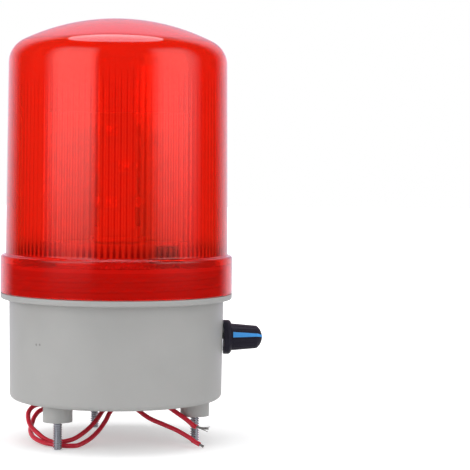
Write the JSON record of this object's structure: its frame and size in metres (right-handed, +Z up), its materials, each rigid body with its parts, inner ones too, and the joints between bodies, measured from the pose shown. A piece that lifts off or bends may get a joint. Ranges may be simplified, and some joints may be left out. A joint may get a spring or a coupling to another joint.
{
  "type": "rotating warning light",
  "caption": "Red-domed rotating warning light on a grey base, with an inner turning mirror, mounting studs, bare supply leads and a side control knob.",
  "frame": {"origin": "on the light's vertical axis, in the plane of the feet's undersides, at the centre of the stud pattern", "axes": "+Z up along the light's axis, +X towards the control knob, -Y towards the viewer"},
  "size_m": [0.1137, 0.1, 0.1824],
  "materials": {
    "base_grey": "moulded grey plastic, satin",
    "lens_red": "clear red moulded plastic, polished",
    "zinc_steel": "zinc-plated steel",
    "seal_rubber": "black rubber",
    "seal_silicone": "grey silicone rubber",
    "deck_white": "moulded white plastic",
    "gear_grey": "moulded grey plastic",
    "gear_black": "moulded black plastic",
    "bronze": "sintered bronze",
    "mirror_plating": "moulded plastic with bright metal plating",
    "lamp_white": "white lamp board and socket",
    "chip_yellow": "light chip with yellow phosphor",
    "motor_steel": "plated steel can",
    "board_green": "green circuit board",
    "capacitor_blue": "sleeved aluminium can",
    "lead_red": "red insulation",
    "lead_black": "black insulation",
    "strand_tin": "tinned copper strands",
    "knob_black": "black knob plastic",
    "pointer_blue": "blue pointer inlay"
  },
  "bodies": {
    "base": {"base_housing": "base_grey", "mounting_bolts": "zinc_steel", "deck": "deck_white", "deck_screws": "zinc_steel", "thrust_washer": "lamp_white", "lamp_base": "lamp_white", "lamp_boards": "lamp_white", "led_chips": "chip_yellow", "lamp_cap": "lamp_white", "lamp_leads": "lead_red", "motor_can": "motor_steel", "motor_gearbox": "gear_black", "motor_screws": "zinc_steel", "motor_leads": "lead_red", "circuit_board": "board_green", "board_screws": "zinc_steel", "buzzer": "gear_black", "capacitors": "capacitor_blue", "driver_chip": "gear_black", "pot_body": "motor_steel", "pot_washer": "zinc_steel", "pot_nut": "zinc_steel", "pot_leads": "lead_black", "wire_grommet": "seal_rubber", "supply_leads": "lead_red", "lead_wire_a": "lead_red", "lead_wire_b": "lead_red", "lead_tip_a": "strand_tin", "lead_tip_b": "strand_tin"},
    "seal_ring": {"lens_seal": "seal_silicone"},
    "lens_body": {"lens": "lens_red"},
    "rotor": {"rotor_gear": "gear_grey", "rotor_bush": "bronze", "reflector": "mirror_plating", "reflector_screws": "zinc_steel"},
    "drive": {"motor_shaft": "zinc_steel", "pinion": "gear_black"},
    "knob_set": {"knob": "knob_black", "knob_pointer": "pointer_blue", "pot_shaft": "zinc_steel"}
  },
  "joints": [
    {"name": "lens_turn", "type": "hinge", "parent": "base", "child": "seal_ring", "pos_m": [0, 0, 0.0635], "axis": [0, 0, 1], "range_deg": [0, 1080]},
    {"name": "lens_rise", "type": "slide", "parent": "seal_ring", "child": "lens_body", "axis": [0, 0, 1], "range_m": [0, 0.012]},
    {"name": "rotor_spin", "type": "hinge", "parent": "base", "child": "rotor", "pos_m": [0, 0, 0.06], "axis": [0, 0, 1], "continuous": true},
    {"name": "pinion_spin", "type": "hinge", "parent": "base", "child": "drive", "pos_m": [0.02057, -0.02451, 0.06], "axis": [0, 0, 1], "continuous": true},
    {"name": "knob_turn", "type": "hinge", "parent": "base", "child": "knob_set", "pos_m": [0.0469, 0, 0.0331], "axis": [1, 0, 0], "range_deg": [-150, 150]}
  ],
  "couplings": [
    {"joint": "lens_rise", "follows": "lens_turn", "m_per_rad": 0.0006366},
    {"joint": "pinion_spin", "follows": "rotor_spin", "ratio": -4}
  ]
}
